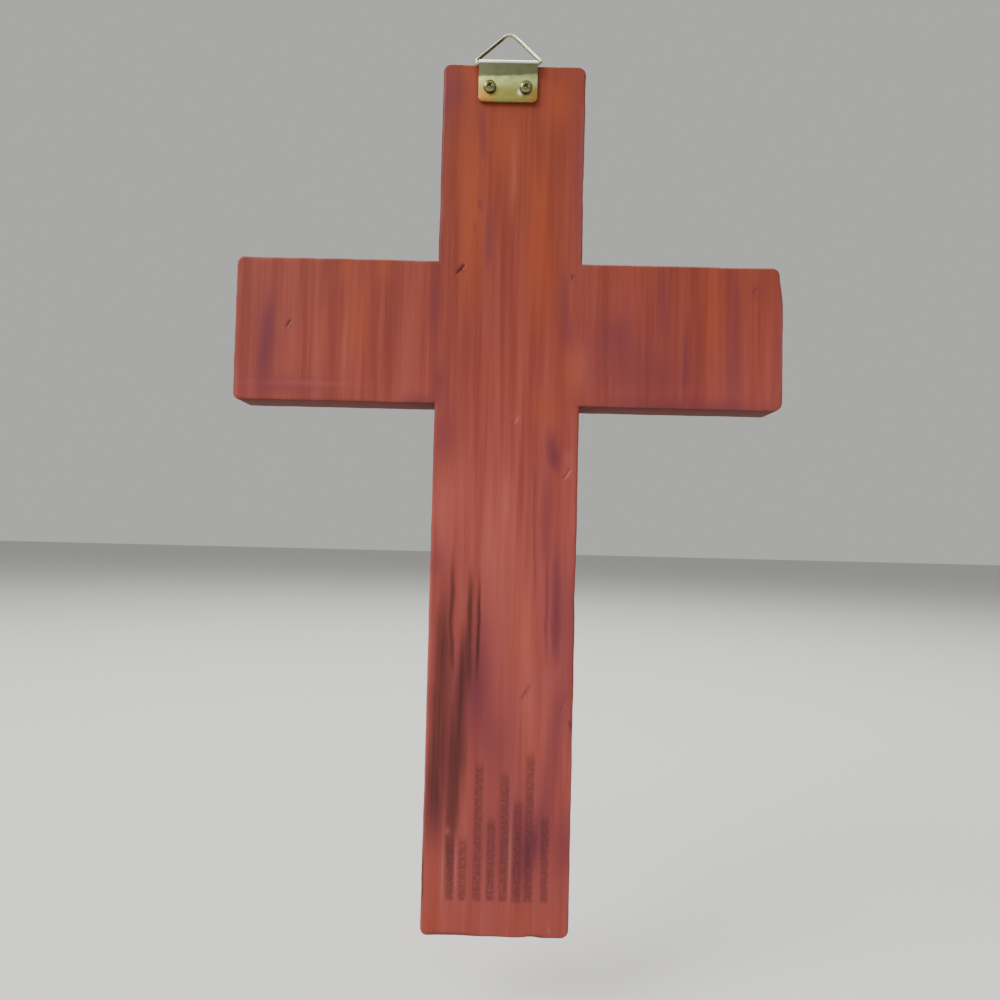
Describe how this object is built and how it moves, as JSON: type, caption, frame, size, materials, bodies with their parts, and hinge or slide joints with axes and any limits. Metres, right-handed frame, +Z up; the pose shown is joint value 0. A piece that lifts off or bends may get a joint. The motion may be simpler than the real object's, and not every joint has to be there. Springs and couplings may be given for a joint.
{
  "type": "wall cross",
  "caption": "Plain flat wooden wall cross with a stained board, and a triangular wire ring in a screwed brass strap at the top of its back, to hang it on a nail.",
  "frame": {"origin": "the point under the apex of the hanger's ring where a level nail or hook bears, the ring leaning 30 degrees forward as in the picture", "axes": "+Z up as the cross hangs; +Y out of the back, towards the wall; -Y out of the plain front; +X to the left of a person who looks at the back"},
  "size_m": [0.19, 0.0188, 0.3158],
  "materials": {
    "stained_wood": "red mahogany stain brushed along the grain, thin satin coat",
    "brass_strap": "bright plated sheet, slightly tarnished",
    "brass_wire": "bright plated wire, slightly tarnished",
    "brass_screw": "plated, darkened in the recess"
  },
  "bodies": {
    "cross": {"cross_board": "stained_wood", "hanger_plate": "brass_strap", "screw_left": "brass_screw", "screw_right": "brass_screw"},
    "ring": {"hanger_ring": "brass_wire"}
  },
  "joints": [
    {"name": "ring_swing", "type": "hinge", "parent": "cross", "child": "ring", "pos_m": [0.00028, 0.0091, -0.01519], "axis": [1, 0, 0], "range_deg": [-185, 27]}
  ]
}
